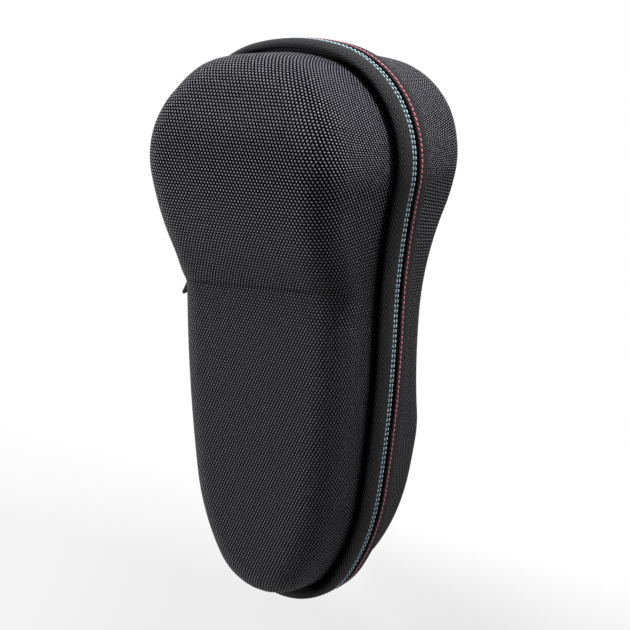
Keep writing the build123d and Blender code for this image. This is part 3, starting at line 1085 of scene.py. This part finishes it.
def open_runs(offset):
    """Distances for the rim's stitches, without those that the hinge covers."""
    runs = [rim_length * (step + offset) / rim_stitches for step in range(rim_stitches)]
    return [run for run in runs if abs(run - hinge_run) > hinge_length / 2 + hinge_clear]


# %% Stitch rows of the rim
teal_size = (1.42, 0.64, 0.44)
inner_places = rim_places(open_runs(0.0), height=1.7 * mm, lift=0.02 * mm)
sew_row("lid_inner_stitches", teal_size, inner_places, teal_thread, "lid", "lid_inner_thread")
outer_places = rim_places(open_runs(0.08), height=3.2 * mm, lift=0.02 * mm)
sew_row("lid_outer_stitches", teal_size, outer_places, teal_thread, "lid", "lid_outer_thread")
back_places = rim_places(open_runs(0.3), height=-2.2 * mm, lift=0.03 * mm, tilt=0.1)
sew_row("base_stitches", (1.6, 0.98, 0.46), back_places, red_thread, "base", "base_thread")

# %% [markdown]
# ## The zip's coil
#
# Each coil is a nylon wire wound in even turns. One turn is modelled from a torus, squeezed
# flat, and copied along the edge of the tape. The side with the hinge has no teeth.

# %% Zip coil
tape_inset = 3.2 * mm
coil_width = 1.4 * mm
coil_height = 0.95 * mm
coil_pitch = 1.3 * mm
zip_closed_end = 137.4 * mm
zip_open_end = 180 * mm


def model_turn():
    """One turn of the coil's wire: a torus squeezed to an oval."""
    bpy.ops.object.select_all(action="DESELECT")
    bpy.ops.mesh.primitive_torus_add(
        major_segments=10, minor_segments=4, major_radius=0.42 * mm, minor_radius=0.17 * mm,
        generate_uvs=False,
    )
    turn = bpy.context.object
    bpy.ops.transform.resize(value=(1.3, 0.85, 1.0))
    bpy.ops.object.transform_apply(location=False, rotation=False, scale=True)
    return turn


def coil_places(side):
    """Places for the turns: the wire's axis runs along the rim."""
    count = round(rim_length / coil_pitch)
    places = []
    for step in range(count):
        point, normal = rim_point(rim_length * (step + 0.25 + 0.25 * side) / count)
        if point.x < 0 and zip_closed_end < point.y < zip_open_end:
            continue
        spot = point - normal * (tape_inset + coil_width / 2)
        inwards = Vector((-normal.x, -normal.y, 0))
        rim_forward = Vector((-normal.y, normal.x, 0))
        places.append((Vector((spot.x, spot.y, side * coil_height)), inwards, rim_forward))
    return places


for half, side in halves:
    turns = sew(half + "_coil_turns", model_turn(), coil_places(side))
    dress(turns, coil_nylon, "zip_coil", half, half + "_coil")

# %% [markdown]
# ## Strips of cloth
#
# The hinge, the strap, its patches, the pocket's binding and the pull are all flat strips. A
# grid is the simplest start: it is carried point by point to its place, thickened, and its
# sharp edges are bevelled. Its cloth coordinates are millimetres along and across the strip.

# %% Strip helpers
def soften(piece, width, segments, angle):
    """Bevel the edges that turn by more than an angle in degrees, and apply the modifiers."""
    soft = piece.modifiers.new("soft edge", "BEVEL")
    soft.width = width
    soft.segments = segments
    soft.limit_method = "ANGLE"
    soft.angle_limit = radians(angle)
    apply_modifiers(piece)


def make_strip(name, place, *, length, width, thickness, cells, edge):
    """A strip of cloth carried to place(run, across), then thickened with soft edges."""
    bpy.ops.object.select_all(action="DESELECT")
    bpy.ops.mesh.primitive_grid_add(
        x_subdivisions=cells[0], y_subdivisions=cells[1], size=1, calc_uvs=False
    )
    strip = named(name)
    layer = strip.data.uv_layers.new(name="cloth")
    for corner in strip.data.loops:
        spot = strip.data.vertices[corner.vertex_index].co
        layer.data[corner.index].uv = ((spot.x + 0.5) * length / mm, spot.y * width / mm)
    for vert in strip.data.vertices:
        vert.co = place((vert.co.x + 0.5) * length, vert.co.y * width)
    wall = strip.modifiers.new("cloth thickness", "SOLIDIFY")
    wall.thickness = thickness
    wall.offset = 0
    soften(strip, edge, segments=2, angle=60)
    bpy.ops.object.mode_set(mode="EDIT")
    bpy.ops.mesh.select_all(action="SELECT")
    bpy.ops.mesh.normals_make_consistent(inside=False)
    bpy.ops.object.mode_set(mode="OBJECT")
    bpy.ops.object.shade_smooth_by_angle(angle=radians(40))
    return settle(strip)


def inner_half(station, inset):
    """Half width of the parallel outline at this inset."""
    point, normal = right_side[side_index(station, inset)]
    return (point - normal * inset).x


def on_wall(side, sink, station, height):
    """A point on a layer of the side wall; side is 1 on the right and -1 on the left."""
    draft = base_draft if height < 0 else wall_draft
    half_width = inner_half(station, wall_inset(sink, abs(height), draft))
    return Vector((side * half_width, station, height))


# %% [markdown]
# ## The cloth hinge
#
# A short wide strip of twill is sewn over both bands on the left side of the head. It is one
# cloth across the fold, modelled straight across the seam and joined to neither body.

# %% Cloth hinge
hinge_reach = 6 * mm
hinge_lift = 0.36 * mm
hinge_crown = 0.05 * mm
hinge_stitches = 13


def hinge_place(run, across):
    """Along the rim by run, up the strip by across, just outside the bands."""
    point, normal = rim_point(hinge_run - hinge_length / 2 + run)
    spot = point + normal * (hinge_lift + hinge_crown * cos(across / hinge_reach * pi))
    return Vector((spot.x, spot.y, across))


cloth_hinge = make_strip(
    "cloth_hinge", hinge_place, length=hinge_length, width=2 * hinge_reach,
    thickness=0.5 * mm, cells=(28, 30), edge=0.15 * mm,
)
cloth_hinge.data.materials.append(strip_twill.material)
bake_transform(cloth_hinge)
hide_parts("lid_hinge", "base_hinge")
for half, side in halves:
    steps = range(-(hinge_stitches // 2), hinge_stitches // 2 + 1)
    runs = [hinge_run + step * stitch_pitch for step in steps]
    places = rim_places(runs, height=side * 4.9 * mm, lift=0.62 * mm)
    sew_row("hinge_stitches_" + half, (1.5, 0.55, 0.35), places, black_thread, half)
print("hinge strip corners:", len(cloth_hinge.data.vertices))

# %% [markdown]
# ## The strap
#
# A wide elastic strap crosses the base and holds the shaver's handle. It lies against each
# wall, turns over a small bend and crosses between them. A patch of lining is sewn over each
# of its ends.

# %% Strap
strap_station = 72 * mm
strap_width = 25 * mm
strap_sink = 5.95 * mm
strap_level = -6.6 * mm
strap_foot = -19.9 * mm
strap_bend = 2.4 * mm
strap_sag = 0.45 * mm
strap_span = on_wall(1, strap_sink, strap_station, strap_level).x
strap_length = 2 * (strap_span + strap_level - strap_foot)


def strap_place(run, across):
    """Down one wall, round a bend, over to the other wall and down it."""
    side = 1 if run > strap_length / 2 else -1
    station = strap_station + across
    out = abs(run - strap_length / 2)
    corner = on_wall(side, strap_sink, station, strap_level)
    if out < strap_span - strap_bend:
        share = out / (strap_span - strap_bend)
        dip = strap_sag * (1 - share * share)
        return Vector((share * (corner.x - side * strap_bend), station, strap_level - dip))
    if out > strap_span + strap_bend:
        return on_wall(side, strap_sink, station, strap_level - (out - strap_span))
    share = (out - strap_span + strap_bend) / (2 * strap_bend)
    first = corner - Vector((side * strap_bend, 0, 0))
    last = on_wall(side, strap_sink, station, strap_level - strap_bend)
    return first.lerp(corner, share).lerp(corner.lerp(last, share), share)


strap = make_strip(
    "elastic_strap", strap_place, length=strap_length, width=strap_width,
    thickness=1.1 * mm, cells=(90, 10), edge=0.25 * mm,
)
dress(strap, elastic, "elastic", "base", "shaver_strap")

# %% Patches and their stitches
patch_station = 58 * mm
patch_length = 28 * mm
patch_level = -16 * mm
patch_width = 11 * mm
patch_sink = 5.9 * mm
patch_lift = 1.05 * mm
patch_fade = 1.6 * mm
tack_sink = 7.42 * mm
tack_levels = (-19.4 * mm, -12.4 * mm)
first_tack = 62 * mm
tack_count = 11


def patch_place(side):
    """The patch lies over the strap's end and drops to the lining round its edges."""
    def place(run, across):
        edge = min(run, patch_length - run, patch_width / 2 - abs(across))
        sink = patch_sink + patch_lift * ease(edge / patch_fade)
        return on_wall(side, sink, patch_station + run, patch_level + across)
    return place


patches = [
    make_strip(
        "patch", patch_place(side), length=patch_length, width=patch_width,
        thickness=0.7 * mm, cells=(30, 14), edge=0.15 * mm,
    )
    for side in (-1, 1)
]
only(*patches)
bpy.ops.object.join()
dress(named("lining_patches"), lining, "lining_cloth", "base", "strap_patches")
tack_places = []
for side in (-1, 1):
    for height in tack_levels:
        for step in range(tack_count):
            station = first_tack + step * stitch_pitch
            spot = on_wall(side, tack_sink, station, height)
            forward = (on_wall(side, tack_sink, station + mm, height) - spot).normalized()
            out = Vector((0, 0, side)).cross(forward).normalized()
            tack_places.append((spot, forward, out))
sew_row("patch_stitches", (1.6, 0.6, 0.4), tack_places, black_thread, "base", "strap_tacks")

# %% [markdown]
# ## The mesh pocket
#
# The pocket in the lid is a knitted net, stretched flat. A grid turned by 45 degrees gives the
# net's diamonds. What lies beyond the lid's inner wall is deleted, and the Wireframe modifier
# turns every edge into a cord. A binding covers the net's cut edge along the wall, and an
# elastic hem crosses its mouth.

# %% Net
net_pitch = 2.4 * mm
net_level = 12.4 * mm
net_sag = 0.5 * mm
net_inset = wall_inset(5.3 * mm, net_level)
net_margin = 0.5 * mm
net_tuck = 2 * mm
net_cells = 62
net_middle = (0, 58 * mm, 0)
hem_low = 104 * mm
hem_width = 7 * mm
bpy.ops.object.select_all(action="DESELECT")
bpy.ops.mesh.primitive_grid_add(
    x_subdivisions=net_cells, y_subdivisions=net_cells, size=net_cells * net_pitch,
    location=net_middle, calc_uvs=False,
)
net = named("pocket_net")
bpy.ops.object.transform_apply(location=True, rotation=False, scale=False)
bpy.ops.object.mode_set(mode="EDIT")
bpy.ops.transform.rotate(value=pi / 4, orient_axis="Z", center_override=net_middle)
bpy.ops.mesh.select_all(action="DESELECT")
cloth = bmesh.from_edit_mesh(net.data)
for vert in cloth.verts:
    x, station, _ = vert.co
    between = net_inset + net_margin <= station < hem_low + net_tuck
    vert.select_set(not (between and abs(x) < inner_half(station, net_inset + net_margin)))
cloth.select_flush(True)
bpy.ops.mesh.delete(type="VERT")
bpy.ops.mesh.select_all(action="SELECT")
bpy.ops.mesh.delete_loose()
bpy.ops.object.mode_set(mode="OBJECT")
for vert in net.data.vertices:
    x, station, _ = vert.co
    half_width = inner_half(max(station, net_inset + mm), net_inset)
    vert.co.z = net_level - net_sag * max(1 - (x / half_width) ** 2, 0)
cords = net.modifiers.new("net cords", "WIREFRAME")
cords.thickness = 0.46 * mm
apply_modifiers(net)
bpy.ops.object.shade_smooth()
settle(net)
dress(net, mesh_cord, "mesh_cloth", "lid", "mesh_pocket")

# %% Binding and hem
binding_run = run_at(hem_low, net_inset)
binding_width = 3.4 * mm
binding_gap = 0.1 * mm
binding_inset = net_inset + binding_gap + binding_width / 2
hem_length = 2 * inner_half(hem_low, net_inset)
gather_height = 0.1 * mm
gather_pitch = 2.3 * mm


def binding_place(run, across):
    """Down the left wall, round the handle end and up the right wall."""
    point, normal = rim_point(run - binding_run)
    spot = point - normal * (binding_inset + across)
    return Vector((spot.x, spot.y, net_level))


def hem_place(run, across):
    """Across the pocket's mouth from wall to wall, a little gathered by its elastic."""
    station = hem_low + hem_width / 2 + across
    x = (2 * run / hem_length - 1) * inner_half(station, net_inset)
    gather = gather_height * sin(2 * pi * x / gather_pitch) * cos(pi * across / hem_width)
    return Vector((x, station, net_level + gather))


binding = make_strip(
    "pocket_binding", binding_place, length=2 * binding_run, width=binding_width,
    thickness=0.86 * mm, cells=(150, 4), edge=0.2 * mm,
)
dress(binding, elastic, "mesh_cloth", "lid")
hem = make_strip(
    "pocket_hem_elastic", hem_place, length=hem_length, width=hem_width,
    thickness=1.55 * mm, cells=(150, 8), edge=0.5 * mm,
)
dress(hem, elastic, "elastic", "lid", "pocket_hem")

# %% Stitches of the pocket
down = Vector((0, 0, -1))
hem_side = 1.3 * mm
hem_level = net_level - 0.8 * mm
edge_inset = wall_inset(7.55 * mm, 11.7 * mm)
edge_level = 11.85 * mm


def even_steps(length):
    """Distances of evenly spaced stitches from the middle of a row of this length."""
    steps = floor(length / stitch_pitch)
    return [(step + 0.5 - steps / 2) * stitch_pitch for step in range(steps)]


hem_places = []
for station in (hem_low + hem_side, hem_low + hem_width - hem_side):
    for x in even_steps(2 * inner_half(station, net_inset)):
        hem_places.append((Vector((x, station, hem_level)), Vector((1, 0, 0)), down))
sew_row("hem_stitches", (1.5, 0.5, 0.3), hem_places, black_thread, "lid")
edge_places = []
for run in even_steps(2 * binding_run):
    point, normal = rim_point(run)
    spot = point - normal * edge_inset
    place = Vector((spot.x, spot.y, edge_level))
    edge_places.append((place, Vector((-normal.y, normal.x, 0)), down))
sew_row("pocket_stitches", (1.5, 0.5, 0.4), edge_places, black_thread, "lid", "pocket_thread_row")

# %% The net's cut size
width_station = 95 * mm
net_size = (2 * inner_half(width_station, net_inset), hem_low - net_inset)
print("net cut to:", [round(side / mm, 1) for side in net_size], "mm")

# %% [markdown]
# ## Zip slider and pull
#
# The zip's metal parts are small die castings. Their solids have the right shape but sharp
# edges, so a copy of each is merged, its flat faces are dissolved to single faces, and its
# edges are bevelled. The pull is a short webbing tab that curls away from the case.

# %% Rounded castings
casting_merge = 0.002 * mm


def rounded_copy(name, node, width):
    """A copy of a solid with its edges rounded."""
    casting = bpy.data.objects.new(name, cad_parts[node].data.copy())
    bpy.context.collection.objects.link(casting)
    only(casting)
    bpy.ops.object.mode_set(mode="EDIT")
    bpy.ops.mesh.select_all(action="SELECT")
    bpy.ops.mesh.remove_doubles(threshold=casting_merge)
    bpy.ops.mesh.dissolve_limited(angle_limit=radians(2))
    bpy.ops.object.mode_set(mode="OBJECT")
    soften(casting, width, segments=3, angle=50)
    bpy.ops.object.shade_smooth_by_angle(angle=radians(35))
    return casting


slider = rounded_copy("slider_casting", "zip_slider", 0.22 * mm)
dress(slider, black_paint, "black_metal", "slider", "zip_slider")
eyelet = rounded_copy("eyelet_ring", "pull_eyelet", 0.2 * mm)
dress(eyelet, black_paint, "black_metal", "pull", "pull_eyelet")

# %% Pull tab
tab_top = 134.5 * mm
tab_length = 25.7 * mm
tab_width = 7 * mm
tab_x = -47.235 * mm
tab_level = -2.15 * mm
tab_straight = 7 * mm
tab_curl = 6.2 * mm
tab_slant = 0.9 * mm
tab_rise = 3.0 * mm
tab_stitch_rows = (-2.4 * mm, 2.4 * mm)
tab_stitch_runs = [(6.5 + 1.9 * step) * mm for step in range(9)]
tab_stitch_lift = 0.66 * mm


def tab_place(run, across):
    """Straight under the eyelet, then curling outwards and a little up."""
    curl = max(run - tab_straight, 0) / (tab_length - tab_straight)
    out = tab_curl * curl**1.5
    slant = tab_slant * curl * across / tab_width
    return Vector((tab_x - out, tab_top - run - slant, tab_level + across + tab_rise * curl))


tab = make_strip(
    "webbing_tab", tab_place, length=tab_length, width=tab_width,
    thickness=1.3 * mm, cells=(28, 10), edge=0.3 * mm,
)
dress(tab, webbing, "pull_cloth", "pull", "pull_tab")
tab_places = []
for across in tab_stitch_rows:
    for run in tab_stitch_runs:
        spot = tab_place(run, across)
        forward = (tab_place(run + 0.5 * mm, across) - spot).normalized()
        out = forward.cross(down).normalized()
        out = out if out.x < 0 else -out
        tab_places.append((spot + out * tab_stitch_lift, forward, out))
sew_row("tab_stitches", (1.5, 0.45, 0.3), tab_places, black_thread, "pull")

# %% Zip stops
for half, _ in halves:
    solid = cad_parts[half + "_stops"]
    solid.data.materials.clear()
    solid.data.materials.append(black_paint.material)
print("painted stops:", [half + "_stops" for half, _ in halves])

# %% [markdown]
# ## Stage, light and camera
#
# The case lies on a white sheet. To the camera the sheet glows nearly as white as paper, most
# of all beyond the head end and far behind the handle end. Near the handle end its glow is
# weaker, a painted darker band, and there it keeps a soft shadow. Reflections show the glow too,
# fully beyond the head end, as a painted reflection on the case's top edges, and less beside the
# case. The light is a large softbox on the left, a small low one close to the head end that
# catches its top edges, a low one on the right for the walls there, and a little light from all
# round.

# %% Floor
bpy.ops.object.select_all(action="DESELECT")
bpy.ops.mesh.primitive_plane_add(size=40)
floor_sheet = named("floor_sheet")
paper = Finish("white_sheet", (0.8, 0.8, 0.8), 0.9, Specular_IOR_Level=0.1)
rays = paper.node("LightPath").outputs
mirrored = paper.math("MAXIMUM", rays["Is Glossy Ray"], rays["Is Transmission Ray"])
floor_y = paper.split(paper.coords())[1]
# painted reflection: glossy rays see the glow fully beyond the head end, to brighten the case's top
# edges
beyond_head = paper.to_range(floor_y, 0.0, 0.05, 0.35, 1.0)
seen = paper.math("MAXIMUM", rays["Is Camera Ray"], paper.times(mirrored, beyond_head))
# painted shade: a weaker glow near the handle end darkens the sheet there, where the real shadow
# also shows
near_white = paper.to_range(floor_y, -0.195, -0.15, 0.6, 1.0)
far_white = paper.to_range(floor_y, -0.6, -0.38, 1.0, 0.0)
whiteness = paper.math("MAXIMUM", near_white, far_white)
glow = paper.node("Emission", {"Strength": 1.0}).outputs[0]
layers = {0: paper.times(seen, whiteness), 1: paper.shader.outputs[0], 2: glow}
blend = paper.node("MixShader", layers).outputs[0]
paper.fill(paper.nodes["Material Output"].inputs["Surface"], blend)
floor_sheet.data.materials.append(paper.material)
print("sheet nodes:", len(paper.nodes))

# %% Lights
middle = (cad_box[0] + cad_box[1]) / 2
# name, place, side length in metres and watts
lamps = (
    ("key_softbox", Vector((-0.8, -0.03, 0.6)), 0.5, 10.2),
    ("head_softbox", Vector((0.14, 0.42, 0.05)), 0.07, 2.4),
    ("right_softbox", Vector((0.85, -0.15, 0.02)), 0.3, 2.0),
)
for name, spot, size, watts in lamps:
    bpy.ops.object.light_add(type="AREA", location=spot)
    lamp = bpy.context.object
    lamp.name = name
    lamp.data.size = size
    lamp.data.energy = watts
    lamp.rotation_euler = (middle - spot).to_track_quat("-Z", "Y").to_euler()
world = bpy.data.worlds.new("studio")
bpy.context.scene.world = world
world.use_nodes = True
sky = world.node_tree
strength = sky.nodes.new("ShaderNodeMapRange")
light_path = sky.nodes.new("ShaderNodeLightPath")
sky.links.new(light_path.outputs["Is Camera Ray"], strength.inputs["Value"])
strength.inputs["To Min"].default_value = 0.12
strength.inputs["To Max"].default_value = 1.0
sky.nodes["Background"].inputs["Color"].default_value = (1, 1, 1, 1)
sky.links.new(strength.outputs["Result"], sky.nodes["Background"].inputs["Strength"])

# %% Camera
camera_round = radians(36.77)
camera_raise = radians(11.47)
camera_roll = radians(0.95)
camera_distance = 528.1 * mm
pan_right = 5.28 * mm
pan_up = 3.85 * mm
toward = Vector((
    sin(camera_round) * cos(camera_raise),
    sin(camera_raise),
    cos(camera_round) * cos(camera_raise),
))
right = Vector((cos(camera_round), 0, -sin(camera_round)))
above = toward.cross(right)
cam_right = right * cos(camera_roll) + above * sin(camera_roll)
cam_above = above * cos(camera_roll) - right * sin(camera_roll)
focus = Vector((0, case_length / 2, 0))
eye = focus + toward * camera_distance + cam_right * pan_right + cam_above * pan_up
camera_data = bpy.data.cameras.new("camera")
camera_data.sensor_width = 36
camera_data.lens = 83.2
camera_data.clip_start = 0.01
camera = bpy.data.objects.new("camera", camera_data)
bpy.context.collection.objects.link(camera)
camera.matrix_world = seam_frame @ frame_of(cam_right, cam_above, toward, eye)
bpy.context.scene.camera = camera
bpy.context.scene.view_settings.view_transform = "Standard"
print("camera at:", [round(c, 3) for c in camera.matrix_world.translation])

# %% Finish
print("CAD box:", [[round(x, 4) for x in c] for c in cad_box])
